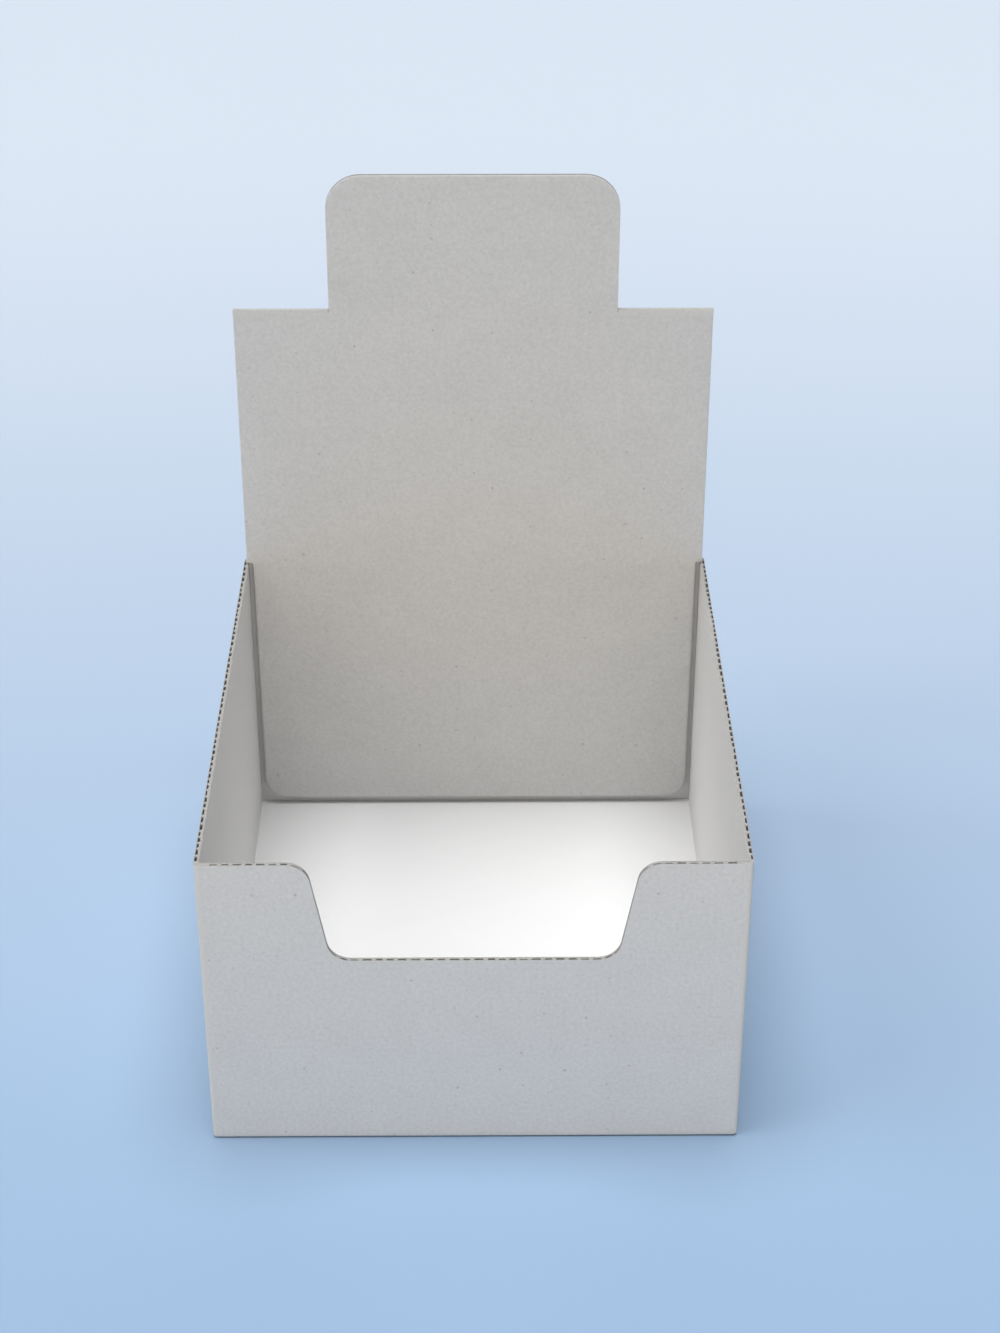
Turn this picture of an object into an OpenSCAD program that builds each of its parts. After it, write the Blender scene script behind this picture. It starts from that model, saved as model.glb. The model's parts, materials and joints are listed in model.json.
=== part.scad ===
// Counter display carton, folded from one blank of fine corrugated board.
// The lid is folded in half to stand as a header. Its rear half rises from the rear wall and has
// the window that the tab was cut from. Its front half hangs from the fold, carries the tab
// above it and ends in a tuck flap inside the carton.
// Millimetres, Z up, front towards -Y, origin in the middle of the base.

/* [Carton] */
// Outer width of the carton
carton_w = 160; // [130:1:260]
// Outer depth of the carton
carton_d = 185; // [120:1:280]
// Height of the four walls
wall_h = 101.5; // [70:0.5:160]
// Thickness of the corrugated board
board_t = 1.5; // [1.3:0.1:2.5]
// Outer radius where the board is folded
fold_r = 1.2; // [0.5:0.1:1.2]

/* [Front notch] */
// Width of the notch at its base, between the lines of its sides
notch_base_w = 83.6; // [40:0.2:90]
// Depth of the notch below the rim
notch_depth = 34; // [20:1:60]
// Lean of the notch sides from upright, in degrees
notch_flare = 10.5; // [2:0.5:15]
// Radius of the notch corners
notch_r = 7; // [2:0.5:9]

/* [Folded lid] */
// Clearance at each side of the lid
lid_side_gap = 1; // [0.3:0.1:3]
// Spare length of each half of the lid beyond half the carton depth
lid_spare = 1.8; // [0:0.1:5]
// Gap between the two halves of the lid
layer_gap = 0.3; // [0.2:0.05:1]
// Gap between the rim of the side walls and the shoulders of the lid
shoulder_gap = 0.5; // [0.3:0.1:3]

/* [Tab] */
// Width of the tab
tab_w = 95; // [40:1:110]
// Height of the tab above the fold
tab_h = 45.6; // [20:0.2:55]
// Radius of the top corners of the tab
tab_r = 11.5; // [2:0.5:18]
// Clearance between the tab and the window it is cut from
tab_kerf = 0.4; // [0.3:0.1:1]
// Width of the slit at each foot of the tab
slit_w = 0.4; // [0.4:0.1:1.5]
// Depth of the slit below the fold
slit_depth = 0.8; // [0.5:0.1:4]

/* [Tuck flap] */
// Clearance between the tuck flap and each side wall
tuck_side_gap = 1.7; // [0.5:0.1:6]
// Gap between the tuck flap and the floor
tuck_floor_gap = 1.5; // [0.5:0.1:5]
// Radius of the lower corners of the tuck flap
tuck_r = 8; // [2:0.5:15]

/* [Hidden] */
$fn = 96;

// Colours of the grey outer liner, in the light on each part
carton_colour = [0.74, 0.74, 0.73];
lid_colour = [0.72, 0.72, 0.71];
// Overlap that makes cuts and unions clean
slack = 1;
// Overlap that makes a rounded corner of the notch cross its straight lines
arc_lap = 0.02;
// Places along the depth
rear_y = carton_d / 2;
rear_inner_y = rear_y - board_t;
lid_front_back_y = rear_inner_y - layer_gap;
lid_front_face_y = lid_front_back_y - board_t;
// Heights
fold_z = wall_h + carton_d / 2 + lid_spare;
lid_edge_z = fold_z - layer_gap / 2;
shoulder_z = wall_h + shoulder_gap;
tuck_z = board_t + tuck_floor_gap;
// Widths
lid_w = carton_w - 2 * lid_side_gap;
tuck_w = carton_w - 2 * board_t - 2 * tuck_side_gap;
// Straight length that a rounded notch corner takes from each of its two lines
notch_tangent = notch_r * tan((90 - notch_flare) / 2);
notch_base_z = wall_h - notch_depth;
notch_top_half_w = notch_base_w / 2 + notch_depth * tan(notch_flare);

// Rectangle from the origin upwards, with its two top corners rounded
module round_top(w, h, r) {
    translate([-w / 2, 0]) square([w, h - r]);
    translate([r - w / 2, 0]) square([w - 2 * r, h]);
    for (side = [-1, 1])
        translate([side * (w / 2 - r), h - r]) circle(r);
}

// Rectangle centred on the origin with all corners rounded
module round_rect(w, d, r) {
    square([w - 2 * r, d], center = true);
    square([w, d - 2 * r], center = true);
    for (x = [-1, 1], y = [-1, 1])
        translate([x * (w / 2 - r), y * (d / 2 - r)]) circle(r);
}

// Stands a flat outline up in the plane of the rear wall, with its front face at y
module upright(y, t) {
    translate([0, y + t, 0]) rotate([90, 0, 0]) linear_extrude(t) children();
}

// Cutter that rounds a square edge along X: the edge lies on the X axis, towards +Y and +Z
module edge_rounder(length, r) {
    translate([-length / 2, 0, 0]) rotate([90, 0, 90]) linear_extrude(length)
        difference() {
            translate([-r, -r]) square(r + slack);
            translate([-r, -r]) circle(r);
        }
}

// Half of the notch, on the +X side, with a rounded corner at its base and at the rim
module half_notch() {
    lean = [sin(notch_flare), cos(notch_flare)];
    base = [notch_base_w / 2, notch_base_z];
    rim = [notch_top_half_w, wall_h];
    polygon([
        [-slack, notch_base_z],
        base - [notch_tangent, 0],
        base + notch_tangent * lean,
        rim,
        rim + [0, slack],
        [-slack, wall_h + slack],
    ]);
    translate(base + [-notch_tangent, notch_r]) circle(notch_r + arc_lap);
    difference() {
        polygon([
            rim - notch_tangent * lean,
            rim + [notch_tangent, 0],
            rim + [notch_tangent, slack],
            rim + [-slack, slack],
        ]);
        translate(rim + [notch_tangent, -notch_r]) circle(notch_r + arc_lap);
    }
}

// Front notch, cut through the front wall
module notch() {
    upright(-rear_y - slack, board_t + 2 * slack) {
        half_notch();
        mirror([1, 0]) half_notch();
    }
}

// Four walls and floor, folded at the corners and along the base
module tray() {
    difference() {
        intersection() {
            linear_extrude(wall_h) round_rect(carton_w, carton_d, fold_r);
            upright(-carton_d, 2 * carton_d)
                translate([0, wall_h]) mirror([0, 1]) round_top(carton_w, wall_h, fold_r);
            rotate([0, 0, 90]) upright(-carton_w, 2 * carton_w)
                translate([0, wall_h]) mirror([0, 1]) round_top(carton_d, wall_h, fold_r);
        }
        translate([0, 0, board_t]) linear_extrude(wall_h)
            square([carton_w - 2 * board_t, carton_d - 2 * board_t], center = true);
        notch();
    }
}

// Rear half of the lid, with the window that the tab leaves
module lid_rear() {
    difference() {
        upright(rear_inner_y, board_t) difference() {
            translate([-lid_w / 2, wall_h - slack]) square([lid_w, lid_edge_z - wall_h + slack]);
            translate([0, fold_z]) mirror([0, 1])
                round_top(tab_w + 2 * tab_kerf, tab_h + tab_kerf, tab_r + tab_kerf);
        }
        translate([0, rear_y, lid_edge_z]) edge_rounder(carton_w, fold_r);
    }
}

// Folded carton: walls, floor and the standing rear half of the lid
module carton() {
    color(carton_colour) union() {
        tray();
        lid_rear();
    }
}

// Outline of the front half of the lid with its tab, foot slits and tuck flap
module lid_front_outline() {
    difference() {
        translate([-lid_w / 2, shoulder_z]) square([lid_w, lid_edge_z - shoulder_z]);
        for (side = [-1, 1])
            translate([side * (tab_w + slit_w) / 2 - slit_w / 2, lid_edge_z - slit_depth])
                square([slit_w, slit_depth + slack]);
    }
    translate([0, shoulder_z]) round_top(tab_w, fold_z + tab_h - shoulder_z, tab_r);
    translate([0, shoulder_z + slack]) mirror([0, 1])
        round_top(tuck_w, shoulder_z + slack - tuck_z, tuck_r);
}

// Front half of the lid: header panel, tab and tuck flap in one flat piece
module lid_front() {
    shoulder_w = (lid_w - tab_w) / 2;
    color(lid_colour) difference() {
        upright(lid_front_face_y, board_t) lid_front_outline();
        for (side = [-1, 1])
            translate([side * (tab_w + slit_w + shoulder_w) / 2, lid_front_face_y, lid_edge_z])
                mirror([0, 1, 0]) edge_rounder(shoulder_w, fold_r);
    }
}

carton();
lid_front();
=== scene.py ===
"""Looks of a counter display box folded from one blank of fine corrugated board.

The walls show the board's real layers: a grey recycled liner outside, a white liner inside and a wavy
medium between them, which is open at the rim and in the notch. The lid's two halves have edges that
the cutting knife pressed shut, and the board is crushed along the fold between them.
"""

import json
import logging
import math
import random
from collections.abc import Callable, Iterator, Sequence
from dataclasses import dataclass, field
from enum import Enum

import bmesh
import bpy
from mathutils import Euler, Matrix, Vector

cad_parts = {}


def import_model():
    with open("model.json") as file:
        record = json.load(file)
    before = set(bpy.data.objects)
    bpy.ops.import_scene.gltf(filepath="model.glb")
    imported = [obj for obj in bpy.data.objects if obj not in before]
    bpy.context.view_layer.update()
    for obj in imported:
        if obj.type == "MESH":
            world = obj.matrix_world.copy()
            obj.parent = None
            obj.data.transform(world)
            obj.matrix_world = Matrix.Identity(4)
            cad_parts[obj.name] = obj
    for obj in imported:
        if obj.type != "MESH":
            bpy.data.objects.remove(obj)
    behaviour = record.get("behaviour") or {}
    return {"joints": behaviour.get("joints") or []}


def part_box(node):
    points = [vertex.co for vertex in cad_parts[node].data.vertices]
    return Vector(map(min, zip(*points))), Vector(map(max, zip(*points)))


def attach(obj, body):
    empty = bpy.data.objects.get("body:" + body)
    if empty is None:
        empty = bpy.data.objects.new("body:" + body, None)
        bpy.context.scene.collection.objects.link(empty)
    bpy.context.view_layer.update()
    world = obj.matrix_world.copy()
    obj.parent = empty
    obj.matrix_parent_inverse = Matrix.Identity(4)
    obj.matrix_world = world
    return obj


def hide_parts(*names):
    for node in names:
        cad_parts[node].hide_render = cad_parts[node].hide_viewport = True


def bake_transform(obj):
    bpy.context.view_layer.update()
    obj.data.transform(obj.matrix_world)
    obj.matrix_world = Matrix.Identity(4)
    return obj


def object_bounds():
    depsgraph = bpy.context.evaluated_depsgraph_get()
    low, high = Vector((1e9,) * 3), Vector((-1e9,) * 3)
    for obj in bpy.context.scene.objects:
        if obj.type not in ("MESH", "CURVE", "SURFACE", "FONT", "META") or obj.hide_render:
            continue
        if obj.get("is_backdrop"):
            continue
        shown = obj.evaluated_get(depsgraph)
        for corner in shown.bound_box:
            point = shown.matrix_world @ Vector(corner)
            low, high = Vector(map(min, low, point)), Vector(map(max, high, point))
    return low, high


log = logging.getLogger("display_box")

# A millimetre in the frame's metres
MM = 0.001
# Edges that turn by more than this stay sharp
SHARP_ANGLE = math.radians(32)
# Vertices that lie closer than this become one
WELD = 1e-7
# Smallest radius that a rounding keeps when its outline moves inwards
LEAST_R = 0.02 * MM
# Corners of a quad, the largest face that isn't cut into triangles
QUAD = 4
# Angle that the rays of a skylight spread over
SKYLIGHT_SPREAD = math.radians(40)
# Sockets of a Mix node for colours, by number because their names repeat
MIX_SHARE = 0
MIX_FIRST = 6
MIX_SECOND = 7
MIX_RESULT = 2

Colour = tuple[float, float, float]
Row = list[bmesh.types.BMVert]


class Paper(Enum):
    """Surface of the board that a face shows."""

    OUTER = "outer liner"
    INNER = "inner liner"
    CUT = "cut edge"
    PRESSED = "pressed edge"
    MEDIUM = "fluted medium"


Finishes = dict[Paper, bpy.types.Material]


class Body(Enum):
    """Body of the frame that a piece moves with."""

    CARTON = "carton"
    LID_FRONT = "lid_front"


class LampKind(Enum):
    """Sort of studio light."""

    SKYLIGHT = "SUN"
    PANEL = "AREA"


class Slot(Enum):
    """Material slot of the record."""

    CARTON_BOARD = "carton_board"
    LID_BOARD = "lid_board"


def smooth(low: float, high: float, value: float) -> float:
    """Eases from 0 at low to 1 at high.

    Args:
        low: Value at which the step starts.
        high: Value at which the step ends.
        value: Value to place on the step.

    Returns:
        The eased share, from 0 to 1.
    """
    share = min(max((value - low) / (high - low), 0.0), 1.0)
    return share * share * (3 - 2 * share)


class Wire:
    """A value socket of a shader graph; arithmetic on it adds Math nodes."""

    def __init__(self, graph: "Graph", socket: bpy.types.NodeSocket) -> None:
        """Keeps the graph and the socket that gives the value."""
        self.graph = graph
        self.socket = socket

    def _math(self, operation: str, first: "Wire | float", second: "Wire | float") -> "Wire":
        """Adds one Math node on two values."""
        return self.graph.node("ShaderNodeMath", {"operation": operation}, {0: first, 1: second})

    def __add__(self, other: "Wire | float") -> "Wire":
        """Adds a value."""
        return self._math("ADD", self, other)

    def __radd__(self, other: float) -> "Wire":
        """Adds to a number."""
        return self._math("ADD", other, self)

    def __sub__(self, other: "Wire | float") -> "Wire":
        """Takes a value away."""
        return self._math("SUBTRACT", self, other)

    def __rsub__(self, other: float) -> "Wire":
        """Takes this value away from a number."""
        return self._math("SUBTRACT", other, self)

    def __mul__(self, other: "Wire | float") -> "Wire":
        """Multiplies by a value."""
        return self._math("MULTIPLY", self, other)

    def __rmul__(self, other: float) -> "Wire":
        """Multiplies a number."""
        return self._math("MULTIPLY", other, self)

    def step(self, low: float, high: float) -> "Wire":
        """Eases from 0 at low to 1 at high.

        Args:
            low: Value at which the step starts.
            high: Value at which the step ends.

        Returns:
            The eased value.
        """
        settings = {"interpolation_type": "SMOOTHSTEP"}
        inputs = {"Value": self, "From Min": low, "From Max": high}
        return self.graph.node("ShaderNodeMapRange", settings, inputs)


class Graph:
    """Node graph of one material that ends in a Principled shader."""

    NOISE_MIDDLE = 0.5

    def __init__(self, name: str, roughness: float, specular: float) -> None:
        """Makes the material.

        Args:
            name: Name of the material.
            roughness: Roughness all over the surface.
            specular: Specular level all over the surface.
        """
        self.material = bpy.data.materials.new(name)
        self.material.use_nodes = True
        self.tree = self.material.node_tree
        self.shader = next(n for n in self.tree.nodes if n.type == "BSDF_PRINCIPLED")
        self.feed(self.shader.inputs["Roughness"], roughness)
        self.feed(self.shader.inputs["Specular IOR Level"], specular)

    def feed(self, socket: bpy.types.NodeSocket, value: object) -> None:
        """Links a wire to a socket, or sets the socket's own value.

        Args:
            socket: Socket to feed.
            value: Wire, or value of the socket's own type.
        """
        if isinstance(value, Wire):
            self.tree.links.new(value.socket, socket)
        else:
            socket.default_value = value

    def node(self, kind: str, settings: dict, inputs: dict, output: str | int = 0) -> Wire:
        """Adds a node of any kind.

        Args:
            kind: Type of the node.
            settings: Properties of the node, which are set first.
            inputs: Values or wires by the name or the number of their socket.
            output: Socket to return, by name or number.

        Returns:
            The output socket.
        """
        made = self.tree.nodes.new(kind)
        for name, value in settings.items():
            setattr(made, name, value)
        for name, value in inputs.items():
            self.feed(made.inputs[name], value)
        return Wire(self, made.outputs[output])

    def flat_place(self) -> Wire:
        """Place on the flat blank, in millimetres."""
        return self.node("ShaderNodeAttribute", {"attribute_name": Sheet.FLAT}, {}, "Vector")

    def crease(self) -> Wire:
        """How creased or worn the board is, from 0 to 1."""
        return self.node("ShaderNodeAttribute", {"attribute_name": Sheet.CREASE}, {}, "Fac")

    def noise(self, place: Wire, size: float, detail: float = 2.0) -> Wire:
        """Soft random tone around zero.

        Args:
            place: Place on the blank.
            size: Width of a patch, in millimetres.
            detail: How many finer layers are added.

        Returns:
            A value from about -0.5 to 0.5.
        """
        inputs = {"Vector": place, "Scale": 1 / size, "Detail": detail}
        return self.node("ShaderNodeTexNoise", {}, inputs, "Fac") - self.NOISE_MIDDLE

    def stretched(self, place: Wire, angle: float, size: Sequence[float]) -> Wire:
        """Turns a place on the blank and measures it in the given sizes.

        Args:
            place: Place on the blank.
            angle: Angle of the turn.
            size: Length of a unit along and across, in millimetres.

        Returns:
            The place in those units.
        """
        turn = {"rotation_type": "Z_AXIS"}
        turned = self.node("ShaderNodeVectorRotate", turn, {"Vector": place, "Angle": angle})
        return self.node("ShaderNodeVectorMath", {"operation": "DIVIDE"}, {0: turned, 1: (*size, 1)})

    @staticmethod
    def opaque(colour: Wire | Colour) -> Wire | tuple[float, ...]:
        """Gives a plain colour the full alpha that its socket takes, and leaves a wire as it is."""
        return colour if isinstance(colour, Wire) else (*colour, 1.0)

    def mix(self, share: Wire, first: Wire | Colour, second: Wire | Colour) -> Wire:
        """Blends from the first colour to the second by a share."""
        inputs = {MIX_SHARE: share, MIX_FIRST: self.opaque(first), MIX_SECOND: self.opaque(second)}
        return self.node("ShaderNodeMix", {"data_type": "RGBA"}, inputs, MIX_RESULT)

    def tint(self, colour: Wire | Colour, factor: Wire) -> Wire:
        """Multiplies a colour by a value.

        Args:
            colour: Colour to start from.
            factor: Value that each of its channels is multiplied by.

        Returns:
            The new colour.
        """
        settings = {"data_type": "RGBA", "blend_type": "MULTIPLY"}
        grey = self.node("ShaderNodeCombineXYZ", {}, {"X": factor, "Y": factor, "Z": factor})
        inputs = {MIX_SHARE: 1.0, MIX_FIRST: self.opaque(colour), MIX_SECOND: grey}
        return self.node("ShaderNodeMix", settings, inputs, MIX_RESULT)

    def bump(self, height: Wire, strength: float, distance: float) -> None:
        """Feeds a relief to the shader's normal."""
        inputs = {"Height": height, "Strength": strength, "Distance": distance}
        self.feed(self.shader.inputs["Normal"], self.node("ShaderNodeBump", {}, inputs))


@dataclass(frozen=True)
class Liner:
    """Matt paper with a cloudy tone, specks, short fibres and paler creases. Sizes are millimetres."""

    name: str
    tone: Colour
    worn: Colour
    worn_share: float
    roughness: float
    specular: float
    cloud: float
    mottle: float
    speck: float
    fibre: float
    relief: float
    cloud_size: float = 14.0
    mottle_size: float = 1.2
    mottle_detail: float = 3.0
    grain_size: float = 0.28
    speck_pitch: float = 6.5
    speck_core: float = 0.12
    speck_r: float = 0.45
    speck_share: float = 0.16
    speck_fade: float = 0.05
    speck_spread: float = 0.6
    fibre_size: tuple[float, float] = (1.7, 0.30)
    fibre_angles: tuple[float, ...] = (0.35, 1.45, 2.55)
    fibre_edge: tuple[float, float] = (0.20, 0.30)
    wear_mottle: float = 1.5
    relief_mottle: float = 1.5
    relief_depth: float = 0.1

    def specks(self, graph: Graph, place: Wire) -> Wire:
        """Sparse round specks.

        Args:
            graph: Graph to add to.
            place: Place on the blank.

        Returns:
            1 in a speck and 0 elsewhere.
        """
        flat = {"voronoi_dimensions": "2D"}
        cells = {"Vector": place, "Scale": 1 / self.speck_pitch}
        near = graph.node("ShaderNodeTexVoronoi", flat, cells, "Distance") * self.speck_pitch
        draw = graph.node("ShaderNodeTexVoronoi", flat, cells, "Color")
        lot = graph.node("ShaderNodeSeparateXYZ", {}, {"Vector": draw}, "X")
        spread = graph.node("ShaderNodeSeparateXYZ", {}, {"Vector": draw}, "Y") + self.speck_spread
        chosen = lot.step(1 - self.speck_share, 1 - self.speck_share + self.speck_fade)
        return (1 - (near * spread).step(self.speck_core, self.speck_r)) * chosen

    def fibres(self, graph: Graph, place: Wire) -> Wire:
        """Short fibres that lie in several directions.

        Args:
            graph: Graph to add to.
            place: Place on the blank.

        Returns:
            1 on a fibre and 0 elsewhere.
        """
        found: Wire | None = None
        for angle in self.fibre_angles:
            streak = graph.noise(graph.stretched(place, angle, self.fibre_size), size=1.0, detail=0.0)
            line = streak.step(*self.fibre_edge)
            found = line if found is None else found + line
        return found

    def material(self) -> bpy.types.Material:
        """Builds the finish.

        Returns:
            The new material.
        """
        graph = Graph(self.name, self.roughness, self.specular)
        place = graph.flat_place()
        grain = graph.noise(place, self.grain_size)
        mottle = graph.noise(place, self.mottle_size, self.mottle_detail)
        tone = 1 + graph.noise(place, self.cloud_size) * self.cloud + mottle * self.mottle
        marks = self.specks(graph, place) * self.speck + self.fibres(graph, place) * self.fibre
        base = graph.tint(self.tone, tone - marks)
        wear = graph.crease() * (1 + mottle * self.wear_mottle) * self.worn_share
        graph.feed(graph.shader.inputs["Base Color"], graph.mix(wear, base, self.worn))
        graph.bump(grain + mottle * self.relief_mottle - marks, self.relief, self.relief_depth * MM)
        return graph.material


@dataclass(frozen=True)
class Fibreboard:
    """Rough unbleached paper of a cut edge or of the medium. Sizes are millimetres."""

    name: str
    pale: Colour
    dark: Colour
    roughness: float = 0.95
    specular: float = 0.15
    patch: float = 1.1
    shred: float = 0.16
    shred_detail: float = 3.0
    dark_edge: tuple[float, float] = (-0.3, 0.4)
    relief: float = 0.35
    relief_depth: float = 0.1

    def material(self) -> bpy.types.Material:
        """Builds the finish.

        Returns:
            The new material.
        """
        graph = Graph(self.name, self.roughness, self.specular)
        place = graph.flat_place()
        shreds = graph.noise(place, self.shred, self.shred_detail)
        patches = graph.noise(place, self.patch)
        share = (shreds + patches).step(*self.dark_edge)
        graph.feed(graph.shader.inputs["Base Color"], graph.mix(share, self.pale, self.dark))
        graph.bump(shreds, self.relief, self.relief_depth * MM)
        return graph.material


@dataclass(frozen=True)
class Spot:
    """One vertex of the folded board."""

    place: Vector
    flat: Vector
    crease: float = 0.0


class Sheet:
    """Mesh of folded board that keeps where each vertex lay on the flat blank."""

    FLAT = "blank"
    CREASE = "crease"

    def __init__(self, name: str) -> None:
        """Starts an empty mesh.

        Args:
            name: Name of the piece.
        """
        self.name = name
        self.mesh = bmesh.new()
        self.flat = self.mesh.verts.layers.float_vector.new(self.FLAT)
        self.creased = self.mesh.verts.layers.float.new(self.CREASE)
        self.papers: list[Paper] = []

    def ring(self, spots: Sequence[Spot]) -> Row:
        """Adds a row of vertices.

        Args:
            spots: The vertices in order.

        Returns:
            The vertices in the mesh.
        """
        row = []
        for spot in spots:
            vertex = self.mesh.verts.new(spot.place)
            vertex[self.flat] = spot.flat / MM
            vertex[self.creased] = spot.crease
            row.append(vertex)
        return row

    def face(self, corners: Sequence[bmesh.types.BMVert], paper: Paper) -> None:
        """Adds one face.

        Args:
            corners: Vertices of the face in order.
            paper: Paper that it shows.
        """
        if paper not in self.papers:
            self.papers.append(paper)
        self.mesh.faces.new(corners).material_index = self.papers.index(paper)

    def bridge(self, first: Row, second: Row, paper: Paper) -> None:
        """Joins two closed rows of vertices by a band of quads.

        Args:
            first: Row on one side of the band.
            second: Row on the other side, as long as the first.
            paper: Paper that the band shows.
        """
        count = len(first)
        for i in range(count):
            j = (i + 1) % count
            self.face((first[i], first[j], second[j], second[i]), paper)

    def loft(self, rows: Sequence[Row], paper: Paper) -> None:
        """Joins closed rows, one after the other."""
        for first, second in zip(rows, rows[1:]):
            self.bridge(first, second, paper)

    def build(self, finishes: Finishes) -> bpy.types.Object:
        """Cleans the mesh and makes the piece.

        Args:
            finishes: Material of each paper.

        Returns:
            The new object, linked to the scene.
        """
        bmesh.ops.remove_doubles(self.mesh, verts=self.mesh.verts, dist=WELD)
        bmesh.ops.dissolve_degenerate(self.mesh, edges=self.mesh.edges, dist=WELD)
        bmesh.ops.triangulate(self.mesh, faces=[f for f in self.mesh.faces if len(f.verts) > QUAD])
        bmesh.ops.recalc_face_normals(self.mesh, faces=self.mesh.faces)
        data = bpy.data.meshes.new(self.name)
        self.mesh.to_mesh(data)
        self.mesh.free()
        for paper in self.papers:
            data.materials.append(finishes[paper])
        data.shade_smooth()
        data.set_sharp_from_angle(angle=SHARP_ANGLE)
        piece = bpy.data.objects.new(self.name, data)
        bpy.context.scene.collection.objects.link(piece)
        return piece


@dataclass(frozen=True)
class Corner:
    """Corner of a flat outline, with the radius that rounds it."""

    x: float
    z: float
    r: float = 0.0

    def mirrored(self) -> "Corner":
        """The same corner on the other side of the middle."""
        return Corner(-self.x, self.z, self.r)


def neighbours(line: list) -> Iterator[tuple]:
    """Gives each item of a closed line between the one before it and the one after it."""
    return zip(line[-1:] + line[:-1], line, line[1:] + line[:1])


def fillet(before: Vector, corner: Vector, after: Vector, r: float, steps: int) -> list[Vector]:
    """Rounds a corner between two straight lines.

    Args:
        before: Point on the line that comes to the corner.
        corner: The corner.
        after: Point on the line that leaves it.
        r: Radius, or 0 to keep the corner sharp.
        steps: Chords of the arc.

    Returns:
        The points of the arc, or the corner alone.
    """
    if r <= 0:
        return [corner]
    back = (before - corner).normalized()
    on = (after - corner).normalized()
    half = back.angle(on) / 2
    centre = corner + (back + on).normalized() * (r / math.sin(half))
    start = corner + back * (r / math.tan(half)) - centre
    end = corner + on * (r / math.tan(half)) - centre
    sweep = start.angle_signed(end)
    points = []
    for i in range(steps + 1):
        angle = -sweep * i / steps
        turned = (
            start.x * math.cos(angle) - start.y * math.sin(angle),
            start.x * math.sin(angle) + start.y * math.cos(angle),
        )
        points.append(centre + Vector(turned))
    return points


def inset_outline(corners: list[Corner], inset: float, steps: int) -> list[Vector]:
    """Outline of a flat shape, moved inwards with its roundings.

    Args:
        corners: Corners in anticlockwise order.
        inset: How far each edge moves inwards.
        steps: Chords of each rounding.

    Returns:
        The points of the outline, as many for every inset.
    """
    moved, radii = [], []
    for before, corner, after in neighbours(corners):
        place = Vector((corner.x, corner.z))
        into = (place - Vector((before.x, before.z))).normalized()
        out = (Vector((after.x, after.z)) - place).normalized()
        normals = Vector((-into.y, into.x)), Vector((-out.y, out.x))
        moved.append(place + inset * (normals[0] + normals[1]) / (1 + normals[0].dot(normals[1])))
        outward = 1 if into.cross(out) > 0 else -1
        radii.append(corner.r and max(corner.r - outward * inset, LEAST_R))
    points = []
    for (before, corner, after), r in zip(neighbours(moved), radii):
        points += fillet(before, corner, after, r, steps)
    return points


@dataclass(frozen=True)
class Board:
    """Section of the corrugated board, from its outer face inwards."""

    thickness: float
    outer_liner: float = 0.16 * MM
    inner_liner: float = 0.32 * MM
    medium: float = 0.18 * MM
    flute_pitch: float = 3.45 * MM
    flute_jitter: float = 0.20
    flute_crush: float = 0.42
    slope_steps: int = 4
    crest_flat: float = 0.11
    crest_end: float = 0.22
    trough_phase: float = 0.5

    def phases(self) -> list[float]:
        """Works out the places in one flute that its shape needs.

        Returns:
            Phases from one crest at 0 to the next at 1.
        """
        reach = self.crest_end - self.crest_flat
        rise = [self.crest_flat + reach * i / self.slope_steps for i in range(self.slope_steps + 1)]
        return [0.0, *rise, *(1 - phase for phase in reversed(rise))]

    def medium_depth(self, phase: float, opening: float) -> float:
        """Depth of the medium's outer side below the outer face.

        Args:
            phase: Place in the flute, from one crest at 0 to the next at 1.
            opening: How far the flute is open, 1 where nothing crushed it.

        Returns:
            The depth.
        """
        trough = smooth(self.crest_flat, self.crest_end, min(phase, 1 - phase))
        inner = self.thickness - self.inner_liner - self.medium
        return self.outer_liner + (inner - self.outer_liner) * trough * opening


@dataclass(frozen=True)
class Notch:
    """Rounded trapezoid cut from the rim of the front wall."""

    base_w: float = 83.6 * MM
    depth: float = 34 * MM
    flare: float = math.radians(10.5)
    r: float = 7 * MM
    arc_steps: int = 14

    def outline(self, half_w: float, rim: float) -> list[Vector]:
        """Rim of the front wall from left to right.

        Args:
            half_w: Half the width of the wall.
            rim: Height of the wall beside the notch.

        Returns:
            Points of the rim, each with its place along the wall and its height.
        """
        base = self.base_w / 2
        top = base + self.depth * math.tan(self.flare)
        floor = rim - self.depth
        line = [Vector(p) for p in ((-half_w, rim), (-top, rim), (-base, floor))]
        line += [Vector((-p.x, p.y)) for p in reversed(line)]
        points = line[:1]
        for before, corner, after in zip(line, line[1:-1], line[2:]):
            points += fillet(before, corner, after, self.r, self.arc_steps)
        return points + line[-1:]


@dataclass(frozen=True)
class Run:
    """One straight wall, seen from above."""

    start: Vector
    along: Vector
    inward: Vector
    length: float
    flat_start: float
    rim: list[Vector]
    margin: float
    probe: float = 0.2 * MM

    def is_steep(self, along: float) -> bool:
        """Whether the rim climbs or falls steeply at a place along the wall."""
        climb = self.rim_height(along + self.probe) - self.rim_height(along - self.probe)
        return abs(climb) > 2 * self.probe

    def rim_height(self, along: float) -> float:
        """Finds the height of the wall.

        Args:
            along: Place along the wall.

        Returns:
            The height of its rim there.
        """
        for first, second in zip(self.rim, self.rim[1:]):
            if along <= second.x and second.x > first.x:
                share = (along - first.x) / (second.x - first.x)
                return first.y + (second.y - first.y) * max(share, 0.0)
        return self.rim[-1].y


@dataclass(frozen=True)
class Station:
    """Place along the walls: on a run, or in the folded corner that follows it."""

    run: Run
    along: float
    turn: float
    rim: float
    crease: float


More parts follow.
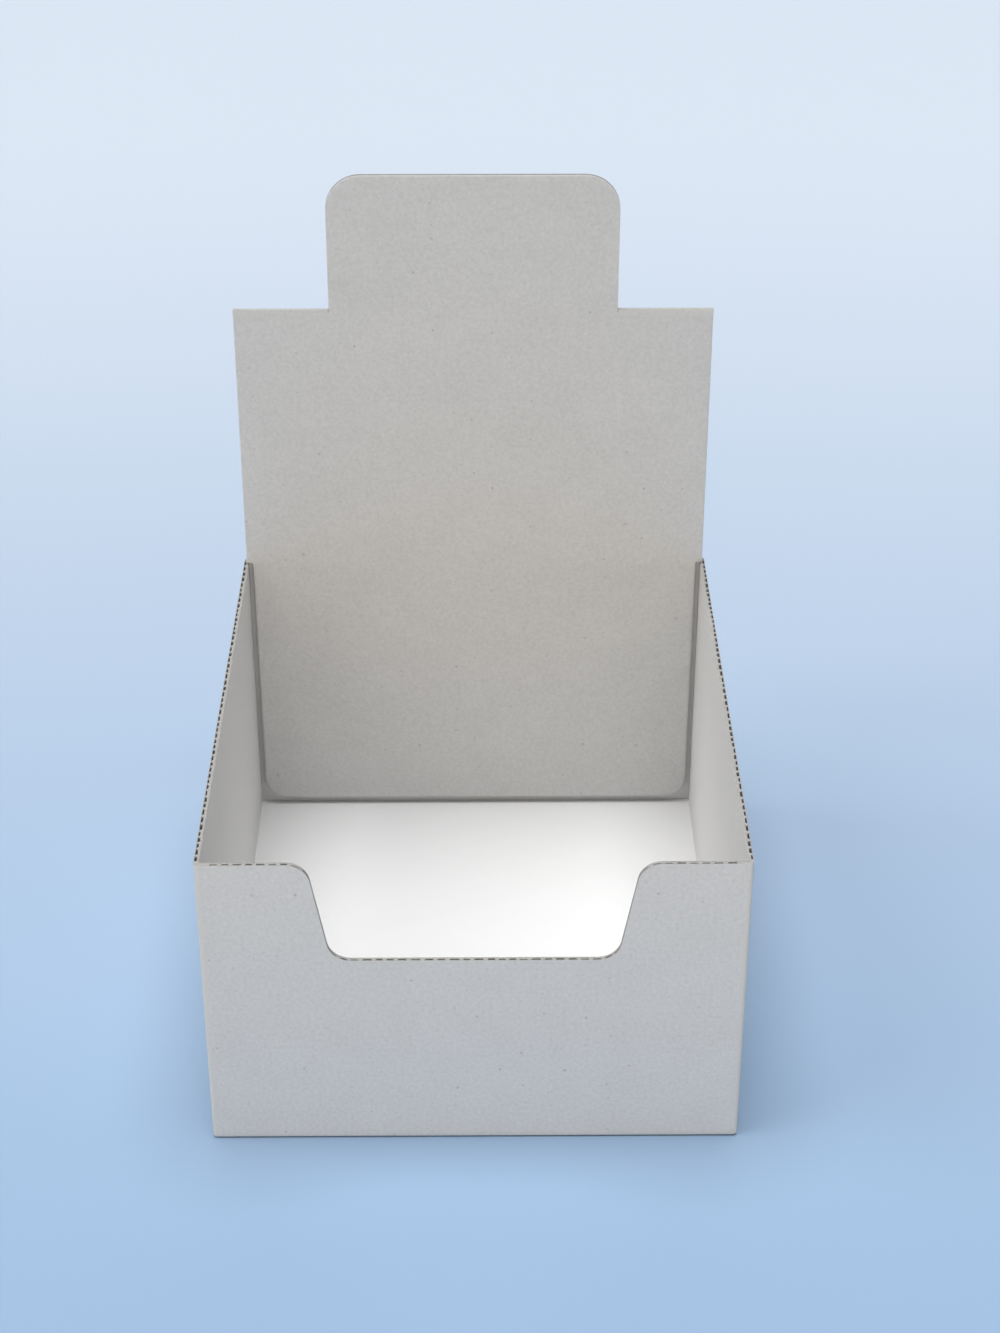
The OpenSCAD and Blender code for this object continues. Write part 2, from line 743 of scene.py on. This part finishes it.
@dataclass(frozen=True)
class Level:
    """Ring round the walls, at a depth below their outer face and a height."""

    depth: float
    height: float | None = None
    drop: float = 0.0
    crease: float = 0.0

    def z(self, rim: float) -> float:
        """Height of the ring at a place with that rim."""
        return rim - self.drop if self.height is None else self.height


@dataclass
class Tray:
    """Four walls and floor of the carton, with open flutes along the rim and the notch."""

    board: Board
    half_w: float
    half_d: float
    wall_h: float = 101.5 * MM
    fold_r: float = 1.2 * MM
    notch: Notch = field(default_factory=Notch)
    corner_steps: int = 6
    fold_steps: int = 5
    wear_w: float = 0.8 * MM
    rim_wear: float = 0.6
    base_wear: float = 0.2
    shut_ends: tuple[float, float] = (4.2 * MM, 1.9 * MM)
    medium_drop: float = 0.05 * MM
    medium_foot: float = 1.9 * MM
    seed: int = 7

    def runs(self) -> list[Run]:
        """Lays out the four walls.

        Returns:
            The walls in order: front, right, rear and left.
        """
        corners = [(-1, -1), (1, -1), (1, 1), (-1, 1)]
        found = []
        width, depth = 2 * self.half_w, 2 * self.half_d
        rear_middle = width + depth + width / 2
        travelled = 0.0
        for i, (x, y) in enumerate(corners):
            start = Vector((x * self.half_w, y * self.half_d))
            after = corners[(i + 1) % len(corners)]
            end = Vector((after[0] * self.half_w, after[1] * self.half_d))
            along = (end - start).normalized()
            length = (end - start).length
            rim = [Vector((0, self.wall_h)), Vector((length, self.wall_h))]
            if i == 0:
                shape = self.notch.outline(self.half_w, self.wall_h)
                rim = [Vector((p.x + self.half_w, p.y)) for p in shape]
            inward = Vector((-along.y, along.x))
            margin = self.shut_ends[i % 2]
            found.append(Run(start, along, inward, length, rear_middle - travelled, rim, margin))
            travelled += length
        return found

    def stations(self) -> list[Station]:
        """Works out the places along the walls that their shape needs.

        Returns:
            The places in order, from the front wall round to it again.
        """
        found = []
        for run in self.runs():
            ends = self.fold_r, run.length - self.fold_r
            fades = ends[0] + self.wear_w, ends[1] - self.wear_w
            found.append(Station(run, ends[0], 0, self.wall_h, 1.0))
            found.append(Station(run, fades[0], 0, self.wall_h, 0.0))
            found += [Station(run, p.x, 0, p.y, 0.0) for p in run.rim[1:-1]]
            found.append(Station(run, fades[1], 0, self.wall_h, 0.0))
            found.append(Station(run, ends[1], 0, self.wall_h, 1.0))
            for i in range(1, self.corner_steps):
                found.append(Station(run, run.length, i / self.corner_steps, self.wall_h, 1.0))
        return found

    def spot(self, station: Station, level: Level) -> Spot:
        """Vertex on the walls.

        Args:
            station: Place along the walls.
            level: Depth and height.

        Returns:
            The vertex, with its place on the blank.
        """
        run, r = station.run, self.fold_r
        reach = max(level.depth, r)
        along = min(max(station.along, reach), run.length - reach)
        place = run.start + run.along * along + run.inward * level.depth
        flat_u = run.flat_start - station.along
        if station.turn:
            angle = station.turn * math.pi / 2
            outward = run.along * math.sin(angle) - run.inward * math.cos(angle)
            past = max(level.depth - r, 0.0)
            place += outward * max(r - level.depth, 0.0) + run.inward * (r + past - level.depth)
            place -= run.along * (past + r - reach)
            flat_u = run.flat_start - run.length + r * (1 - 2 * station.turn)
        z = level.z(station.rim)
        return Spot(place.to_3d() + Vector((0, 0, z)), Vector((flat_u, z, level.depth)),
                    max(level.crease, station.crease))

    def skin(self, name: str, face: list[Level], back: list[Level], papers: Sequence[Paper]) -> Sheet:
        """Thin closed layer of the walls and the floor.

        Args:
            name: Name of the piece.
            face: Rings of the visible side, from the rim to the floor.
            back: Rings of the side that faces the flutes.
            papers: Papers of the visible side and of the other one.

        Returns:
            The layer's mesh.
        """
        sheet = Sheet(name)
        stations = self.stations()
        rims = []
        for levels, paper in zip((face, back), papers):
            rows = [sheet.ring([self.spot(s, level) for s in stations]) for level in levels]
            sheet.loft(rows, paper)
            sheet.face(rows[-1], paper)
            rims.append(rows[0])
        sheet.bridge(rims[0], rims[1], Paper.CUT)
        return sheet

    def outer_liner(self) -> Sheet:
        """Makes the grey liner outside the walls and under the floor.

        Returns:
            The liner's mesh.
        """
        skin, r = self.board.outer_liner, self.fold_r
        turns = [i / self.fold_steps * math.pi / 2 for i in range(1, self.fold_steps + 1)]
        face = [Level(0, crease=self.rim_wear), Level(0, drop=self.wear_w), Level(0, r + self.wear_w)]
        face += [Level(0, r, crease=self.base_wear)]
        face += [Level(r * (1 - math.cos(a)), r * (1 - math.sin(a)), crease=self.base_wear) for a in turns]
        bend = r - skin
        back = [Level(skin), Level(skin, r)]
        back += [Level(skin + bend * (1 - math.cos(a)), skin + bend * (1 - math.sin(a))) for a in turns]
        return self.skin("carton_outer_liner", face, back, (Paper.OUTER, Paper.MEDIUM))

    def inner_liner(self) -> Sheet:
        """Makes the white liner inside the walls and on the floor.

        Returns:
            The liner's mesh.
        """
        deep = self.board.thickness
        shallow = deep - self.board.inner_liner
        face = [Level(deep), Level(deep, deep)]
        back = [Level(shallow), Level(shallow, shallow)]
        return self.skin("carton_inner_liner", face, back, (Paper.INNER, Paper.CUT))

    def wave(self, run: Run, draw: random.Random) -> list[tuple[Station, float]]:
        """Outer side of the medium along one wall and round the corner after it.

        Args:
            run: The wall.
            draw: Source of the flutes' uneven widths.

        Returns:
            Places along the wall, each with the depth of the medium there.
        """
        board, shut = self.board, self.board.outer_liner
        first, last = run.margin, run.length - run.margin
        count = round((last - first) / board.flute_pitch)
        widths = [draw.uniform(1 - board.flute_jitter, 1 + board.flute_jitter) for _ in range(count)]
        scale = (last - first) / sum(widths)
        found = [(self.fold_r, shut), (last, shut), (run.length - self.fold_r, shut)]
        crest = first
        for width in (w * scale for w in widths):
            opening = draw.uniform(1 - board.flute_crush, 1)
            places = [crest + width * phase for phase in board.phases()]
            places += [p.x for p in run.rim[1:-1] if crest < p.x < crest + width]
            for x in places:
                phase = board.trough_phase if run.is_steep(x) else (x - crest) / width
                found.append((x, board.medium_depth(phase, opening)))
            crest += width
        found.sort()
        line = [(Station(run, x, 0, run.rim_height(x), 0), depth) for x, depth in found]
        shares = [i / self.corner_steps for i in range(1, self.corner_steps)]
        return line + [(Station(run, run.length, share, self.wall_h, 0), shut) for share in shares]

    def flutes(self) -> Sheet:
        """Makes the medium in the walls, wavy towards the outer liner and pressed onto the inner one.

        Returns:
            The medium's mesh.
        """
        sheet = Sheet("carton_flutes")
        draw = random.Random(self.seed)
        line = [place for run in self.runs() for place in self.wave(run, draw)]
        back = self.board.thickness - self.board.inner_liner
        top, foot = {"drop": self.medium_drop}, {"height": self.medium_foot}
        rows = [
            sheet.ring([self.spot(station, Level(depth, **top)) for station, depth in line]),
            sheet.ring([self.spot(station, Level(depth, **foot)) for station, depth in line]),
            sheet.ring([self.spot(station, Level(back, **foot)) for station, _ in line]),
            sheet.ring([self.spot(station, Level(back, **top)) for station, _ in line]),
        ]
        sheet.loft(rows, Paper.MEDIUM)
        sheet.bridge(rows[-1], rows[0], Paper.CUT)
        return sheet

    def build(self, finishes: Finishes) -> list[bpy.types.Object]:
        """Makes the layers and hangs them on the carton.

        Args:
            finishes: Material of each paper.

        Returns:
            The new pieces.
        """
        sheets = self.outer_liner(), self.inner_liner(), self.flutes()
        made = [sheet.build(finishes) for sheet in sheets]
        for piece in made:
            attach(piece, Body.CARTON.value)
        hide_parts("carton")
        return made


@dataclass(frozen=True)
class PressRing:
    """Ring of a panel near its edge, and the shares of half the board's thickness that are left there."""

    inset: float
    pressed: float
    crushed: float


PRESS_RINGS = (
    PressRing(inset=0.0, pressed=0.84, crushed=-0.1),
    PressRing(inset=0.12 * MM, pressed=0.94, crushed=0.25),
    PressRing(inset=0.36 * MM, pressed=1.0, crushed=0.55),
    PressRing(inset=1.1 * MM, pressed=1.0, crushed=1.0),
)


@dataclass
class Panel:
    """Flat stretch of board with edges that the knife pressed shut.

    Above the crease it leans about its top line, and stands forward at the crease by as much as it is
    sprung. Below the crease it hangs straight.
    """

    name: str
    corners: list[Corner]
    front_y: float
    back_y: float
    papers: tuple[Paper, Paper]
    flat_z: Callable[[float], float]
    crease_z: float = 0.0
    top_z: float = 1.0
    sprung: float = 0.0
    crushed: Callable[[float], float] = lambda z: 0.0
    press: tuple[PressRing, ...] = PRESS_RINGS
    arc_steps: int = 12

    def ring(self, sheet: Sheet, side: int, press: PressRing) -> Row:
        """Adds one ring of the panel's outline.

        Args:
            sheet: Mesh to add to.
            side: -1 for the front face, which may be crushed, and 1 for the rear one.
            press: Where the ring lies and how far the board is pressed there.

        Returns:
            The vertices of the ring.
        """
        outline = inset_outline(self.corners, press.inset, self.arc_steps)
        spots = []
        for p in outline:
            weight = self.crushed(p.y) if side < 0 else 0.0
            share = press.pressed + (press.crushed - press.pressed) * weight
            y = (self.front_y + self.back_y + side * share * (self.back_y - self.front_y)) / 2
            spots.append(Spot(Vector((p.x, y, p.y)), Vector((p.x, self.flat_z(p.y), y))))
        return sheet.ring(spots)

    def sheet(self) -> Sheet:
        """Makes the panel's closed mesh.

        Returns:
            The panel's mesh.
        """
        sheet = Sheet(self.name)
        edges = []
        for side, paper in zip((-1, 1), self.papers):
            rows = [self.ring(sheet, side, press) for press in self.press]
            sheet.loft(rows, paper)
            sheet.face(rows[-1], paper)
            edges.append(rows[0])
        sheet.bridge(edges[0], edges[1], Paper.PRESSED)
        mesh = sheet.mesh
        parts = [*mesh.verts, *mesh.edges, *mesh.faces]
        bmesh.ops.bisect_plane(mesh, geom=parts, plane_co=(0, 0, self.crease_z), plane_no=(0, 0, 1))
        for vertex in mesh.verts:
            drop = self.top_z - max(vertex.co.z, self.crease_z)
            vertex.co.y -= self.sprung * drop / (self.top_z - self.crease_z)
        return sheet

    def build(self, finishes: Finishes, body: Body, slot: Slot) -> bpy.types.Object:
        """Makes the panel.

        Args:
            finishes: Material of each paper.
            body: Body that it moves with.
            slot: Material slot of the record; not used.

        Returns:
            The new piece.
        """
        piece = self.sheet().build(finishes)
        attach(piece, body.value)
        return piece


@dataclass
class Lid:
    """Lid folded in half to stand as a header, with a tab above and a tuck flap below."""

    board: Board
    half_w: float
    edge_z: float
    fold_z: float
    rear_y: float
    face_y: float
    tab_top: float
    tuck_z: float
    crease_z: float = 101.5 * MM
    shoulder_z: float = 102.0 * MM
    tab_half_w: float = 47.5 * MM
    tab_r: float = 11.5 * MM
    tab_kerf: float = 0.4 * MM
    slit_w: float = 0.15 * MM
    tuck_half_w: float = 76.8 * MM
    tuck_r: float = 8 * MM
    ear_r: float = 0.7 * MM
    nick_r: float = 0.4 * MM
    fold_over: float = 0.03 * MM
    fold_leg: float = 2.6 * MM
    fold_front_r: float = 0.35 * MM
    fold_top_w: float = 1.5 * MM
    fold_slope: float = math.radians(40)
    fold_rear_r: float = 0.9 * MM
    fold_arc: int = 6
    fold_wave: float = 0.05 * MM
    fold_wave_steps: int = 6
    fold_wear: float = 0.3
    crown_wear: float = 1.0
    half_drops: tuple[float, float] = (1.0 * MM, 2.4 * MM)
    spring: float = 0.9 * MM
    tuck_lift: float = 1.1 * MM
    crush_fade: float = 10 * MM

    def rear_corners(self) -> list[Corner]:
        """Draws the rear half, with the window that the tab was cut from.

        Returns:
            The corners of its outline.
        """
        window = self.tab_half_w + self.tab_kerf
        sill = 2 * self.fold_z - self.tab_top - self.tab_kerf
        right = [
            Corner(self.half_w, self.crease_z),
            Corner(self.half_w, self.edge_z - self.half_drops[1], self.nick_r),
            Corner(window, self.edge_z - self.half_drops[1]),
            Corner(window, sill, self.tab_r + self.tab_kerf),
        ]
        return right + [c.mirrored() for c in reversed(right)]

    def front_corners(self) -> list[Corner]:
        """Draws the front half, with its tab, shoulders and tuck flap.

        Returns:
            The corners of its outline.
        """
        top = self.edge_z - self.half_drops[0]
        right = [
            Corner(self.tuck_half_w, self.tuck_z + self.tuck_lift, self.tuck_r),
            Corner(self.tuck_half_w, self.shoulder_z, self.ear_r),
            Corner(self.half_w, self.shoulder_z, self.nick_r),
            Corner(self.half_w, top, self.nick_r),
            Corner(self.tab_half_w, top),
            Corner(self.tab_half_w, self.tab_top, self.tab_r),
        ]
        return right + [c.mirrored() for c in reversed(right)]

    def fold_line(self) -> list[tuple[Vector, float, Paper]]:
        """Draws the section over the fold, from the front face to the rear one.

        Returns:
            Points of the section, each with its wear and the paper that follows it.
        """
        front, rear = self.face_y - self.fold_over, self.rear_y + self.fold_over
        top, low = self.edge_z, self.edge_z - self.fold_leg
        break_y = front + self.fold_top_w
        rear_z = top - (rear - break_y) * math.tan(self.fold_slope)
        section = (front, low), (front, top), (break_y, top), (rear, rear_z), (rear, low)
        line = [Vector(p) for p in section]
        nose = fillet(line[0], line[1], line[2], self.fold_front_r, self.fold_arc)
        turn = fillet(line[1], line[2], line[3], self.fold_front_r, self.fold_arc)
        heel = fillet(line[2], line[3], line[4], self.fold_rear_r, self.fold_arc)
        points = [(line[0], 0.0, Paper.OUTER), (nose[0], self.fold_wear, Paper.OUTER)]
        points += [(p, self.crown_wear, Paper.MEDIUM) for p in nose[1:] + turn[:-1]]
        points += [(p, self.fold_wear, Paper.OUTER) for p in turn[-1:] + heel]
        return points + [(line[4], 0.0, Paper.INNER)]

    def fold(self, name: str, left: float, right: float) -> Sheet:
        """Makes the crushed board along one stretch of the fold, where the flutes show as faint waves.

        Args:
            name: Name of the piece.
            left: Where it starts along X.
            right: Where it ends.

        Returns:
            The fold's mesh.
        """
        sheet = Sheet(name)
        line = self.fold_line()
        pitch = self.board.flute_pitch
        count = round((right - left) / pitch) * self.fold_wave_steps
        rows = []
        for i in range(count + 1):
            x = left + (right - left) * i / count
            lift = self.fold_wave * (math.cos(math.tau * i / self.fold_wave_steps) - 1) / 2
            spots, run = [], self.fold_z + self.fold_leg
            for j, (point, worn, _) in enumerate(line):
                run -= (point - line[max(j - 1, 0)][0]).length
                moved = Vector((x, point.x, point.y + lift * smooth(0, 1, worn)))
                spots.append(Spot(moved, Vector((x, run, 0)), worn))
            rows.append(sheet.ring(spots))
        for first, second in zip(rows, rows[1:]):
            for j, (_, _, paper) in enumerate(line):
                k = (j + 1) % len(line)
                sheet.face((first[j], first[k], second[k], second[j]), paper)
        sheet.face(rows[0], Paper.PRESSED)
        sheet.face(rows[-1], Paper.PRESSED)
        return sheet

    def build(self, finishes: Finishes) -> list[bpy.types.Object]:
        """Makes both halves and the fold between them.

        Args:
            finishes: Material of each paper.

        Returns:
            The new pieces.
        """
        t = self.board.thickness
        rear = Panel("lid_rear_panel", self.rear_corners(), self.rear_y - t, self.rear_y,
                     (Paper.INNER, Paper.OUTER), lambda z: z)
        front = Panel("lid_front_panel", self.front_corners(), self.face_y, self.face_y + t,
                      (Paper.OUTER, Paper.INNER), lambda z: 2 * self.fold_z - z,
                      crease_z=self.shoulder_z, top_z=self.fold_z, sprung=self.spring,
                      crushed=lambda z: smooth(self.shoulder_z, self.shoulder_z - self.crush_fade, z))
        made = [
            rear.build(finishes, Body.CARTON, Slot.CARTON_BOARD),
            front.build(finishes, Body.LID_FRONT, Slot.LID_BOARD),
        ]
        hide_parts("lid_front")
        inner, outer = self.tab_half_w + self.slit_w, self.half_w + self.fold_over
        for name, side in (("lid_fold_left", -1), ("lid_fold_right", 1)):
            piece = self.fold(name, *sorted((side * inner, side * outer))).build(finishes)
            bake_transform(piece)
            made.append(piece)
        return made


@dataclass(frozen=True)
class Lamp:
    """Soft studio light that faces the box. The spread is a skylight's angle or a panel's width."""

    name: str
    kind: LampKind
    place: tuple[float, float, float]
    spread: float
    power: float
    colour: Colour

    def build(self, target: Vector) -> bpy.types.Object:
        """Makes the light.

        Args:
            target: Point that it faces.

        Returns:
            The new light.
        """
        data = bpy.data.lights.new(self.name, self.kind.value)
        if self.kind is LampKind.PANEL:
            data.size = self.spread
        else:
            data.angle = self.spread
        data.energy = self.power
        data.color = self.colour
        lamp = bpy.data.objects.new(self.name, data)
        lamp.location = self.place
        lamp.rotation_euler = (target - lamp.location).to_track_quat("-Z", "Y").to_euler()
        bpy.context.scene.collection.objects.link(lamp)
        return lamp


@dataclass(frozen=True)
class Studio:
    """Pale floor, soft light and the camera.

    The camera's turn is in degrees, and the floor's fades run between places along Y.
    """

    camera_place: tuple[float, float, float] = (2.6 * MM, -672.0 * MM, 510.4 * MM)
    camera_turn: tuple[float, float, float] = (59.357, -0.049, -0.445)
    lens: float = 67.06
    sensor: float = 36.0
    floor_flat: float = 3.0
    floor_reach: float = 20.0
    floor_rise: float = 1.5
    floor_rings: int = 24
    floor_sides: int = 96
    floor_drop: float = 0.05 * MM
    floor_near: Colour = (0.213, 0.333, 0.498)
    # Pale blue far floor colour, made paler as painted light: the floor lightens away from the box
    floor_far_with_painted_light: Colour = (0.512, 0.569, 0.645)
    floor_front: Colour = (0.54, 0.54, 0.535)
    far_painted_light_fade: tuple[float, float] = (-0.47, 0.87)
    front_fade: tuple[float, float] = (-0.18, -0.5)
    floor_roughness: float = 0.85
    floor_specular: float = 0.2
    sky: Colour = (1.0, 1.0, 1.0)
    sky_strength: float = 0.13
    lamps: tuple[Lamp, ...] = (
        Lamp("top_light", LampKind.SKYLIGHT, place=(0.0, 0.0, 2.0), spread=SKYLIGHT_SPREAD,
             power=3.14, colour=(0.975, 0.983, 1.0)),
        Lamp("left_light", LampKind.SKYLIGHT, place=(-1.3, -0.2, 1.4), spread=SKYLIGHT_SPREAD,
             power=0.97, colour=(1.0, 0.995, 0.965)),
        Lamp("back_light", LampKind.SKYLIGHT, place=(0.0, 1.4, 1.4), spread=SKYLIGHT_SPREAD,
             power=0.3, colour=(1.0, 1.0, 1.0)),
        Lamp("front_light", LampKind.PANEL, place=(0.0, -1.15, 0.3), spread=0.8,
             power=4.8, colour=(1.0, 0.91, 0.80)),
    )

    def camera(self) -> bpy.types.Object:
        """Makes the camera at the photograph's place and view.

        Returns:
            The new camera.
        """
        data = bpy.data.cameras.new("camera")
        data.sensor_width = self.sensor
        data.lens = self.lens
        camera = bpy.data.objects.new("camera", data)
        camera.location = self.camera_place
        camera.rotation_euler = Euler([math.radians(a) for a in self.camera_turn])
        bpy.context.scene.collection.objects.link(camera)
        bpy.context.scene.camera = camera
        return camera

    def floor_paint(self) -> bpy.types.Material:
        """Makes the floor's matt paint, blue about the box and paler in front of it and behind it. The
        paler far part behind the box is painted light: the floor is painted lighter away from the box.

        Returns:
            The new material.
        """
        graph = Graph("floor_paint", self.floor_roughness, self.floor_specular)
        place = graph.node("ShaderNodeTexCoord", {}, {}, "Object")
        along = graph.node("ShaderNodeSeparateXYZ", {}, {"Vector": place}, "Y")
        # Painted light: the floor turns paler towards the far side
        rear = graph.mix(along.step(*self.far_painted_light_fade), self.floor_near, self.floor_far_with_painted_light)
        colour = graph.mix(along.step(*self.front_fade), rear, self.floor_front)
        graph.feed(graph.shader.inputs["Base Color"], colour)
        return graph.material

    def floor(self) -> bpy.types.Object:
        """Makes the floor, which is flat about the box and rises far off like a sweep.

        Returns:
            The new floor.
        """
        sides, rings = self.floor_sides, self.floor_rings
        corners = []
        for ring in range(rings + 1):
            share = ring / rings
            reach = self.floor_flat + share * (self.floor_reach - self.floor_flat)
            height = self.floor_rise * share ** 2 - self.floor_drop
            angles = (math.tau * side / sides for side in range(sides))
            corners += [(reach * math.cos(a), reach * math.sin(a), height) for a in angles]
        faces = [tuple(range(sides))]
        for ring in range(rings):
            low, high = ring * sides, (ring + 1) * sides
            for side in range(sides):
                after = (side + 1) % sides
                faces.append((high + side, high + after, low + after, low + side))
        mesh = bpy.data.meshes.new("floor")
        mesh.from_pydata(corners, [], faces)
        mesh.materials.append(self.floor_paint())
        floor = bpy.data.objects.new("floor", mesh)
        bpy.context.scene.collection.objects.link(floor)
        floor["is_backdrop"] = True
        return floor

    def build(self, target: Vector) -> list[bpy.types.Object]:
        """Makes the studio.

        Args:
            target: Point that the lights face.

        Returns:
            The floor, the lights and the camera.
        """
        world = bpy.data.worlds.new("studio")
        world.use_nodes = True
        background = world.node_tree.nodes["Background"]
        background.inputs["Color"].default_value = (*self.sky, 1.0)
        background.inputs["Strength"].default_value = self.sky_strength
        bpy.context.scene.world = world
        bpy.context.scene.view_settings.view_transform = "Standard"
        return [self.floor(), *(lamp.build(target) for lamp in self.lamps), self.camera()]


GREY_LINER = Liner(
    name="grey_liner",
    tone=(0.645, 0.64, 0.632),
    worn=(0.658, 0.642, 0.594),
    worn_share=0.5,
    roughness=0.92,
    specular=0.15,
    cloud=0.07,
    mottle=0.26,
    speck=0.26,
    fibre=0.07,
    relief=0.10,
)
WHITE_LINER = Liner(
    name="white_liner",
    tone=(0.70, 0.698, 0.695),
    worn=(0.735, 0.725, 0.685),
    worn_share=0.2,
    roughness=0.75,
    specular=0.25,
    cloud=0.02,
    mottle=0.02,
    speck=0.02,
    fibre=0.01,
    relief=0.05,
)
CUT_EDGE = Fibreboard("cut_edge", pale=(0.37, 0.366, 0.352), dark=(0.28, 0.276, 0.264))
PRESSED_EDGE = Fibreboard("pressed_edge", pale=(0.29, 0.289, 0.28), dark=(0.21, 0.209, 0.202))
MEDIUM = Fibreboard("fluted_medium", pale=(0.46, 0.456, 0.442), dark=(0.33, 0.327, 0.316))


def main() -> None:
    """Builds the dressed part and its studio, and reports each piece."""
    logging.basicConfig(level=logging.INFO, format="%(name)s: %(message)s")
    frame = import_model()
    cad_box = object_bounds()
    carton_low, carton_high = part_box("carton")
    lid_low, lid_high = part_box("lid_front")
    finishes = {
        Paper.OUTER: GREY_LINER.material(),
        Paper.INNER: WHITE_LINER.material(),
        Paper.CUT: CUT_EDGE.material(),
        Paper.PRESSED: PRESSED_EDGE.material(),
        Paper.MEDIUM: MEDIUM.material(),
    }
    board = Board(thickness=lid_high.y - lid_low.y)
    tray = Tray(board, half_w=carton_high.x, half_d=carton_high.y)
    lid = Lid(
        board,
        half_w=lid_high.x,
        edge_z=carton_high.z,
        fold_z=frame["joints"][0]["pos_m"][2],
        rear_y=carton_high.y,
        face_y=lid_low.y,
        tab_top=lid_high.z,
        tuck_z=lid_low.z,
    )
    for piece in tray.build(finishes) + lid.build(finishes):
        log.info("%s: %d faces", piece.name, len(piece.data.polygons))
    for thing in Studio().build((cad_box[0] + cad_box[1]) / 2):
        log.info("studio %s", thing.name)


if __name__ == "__main__":
    main()
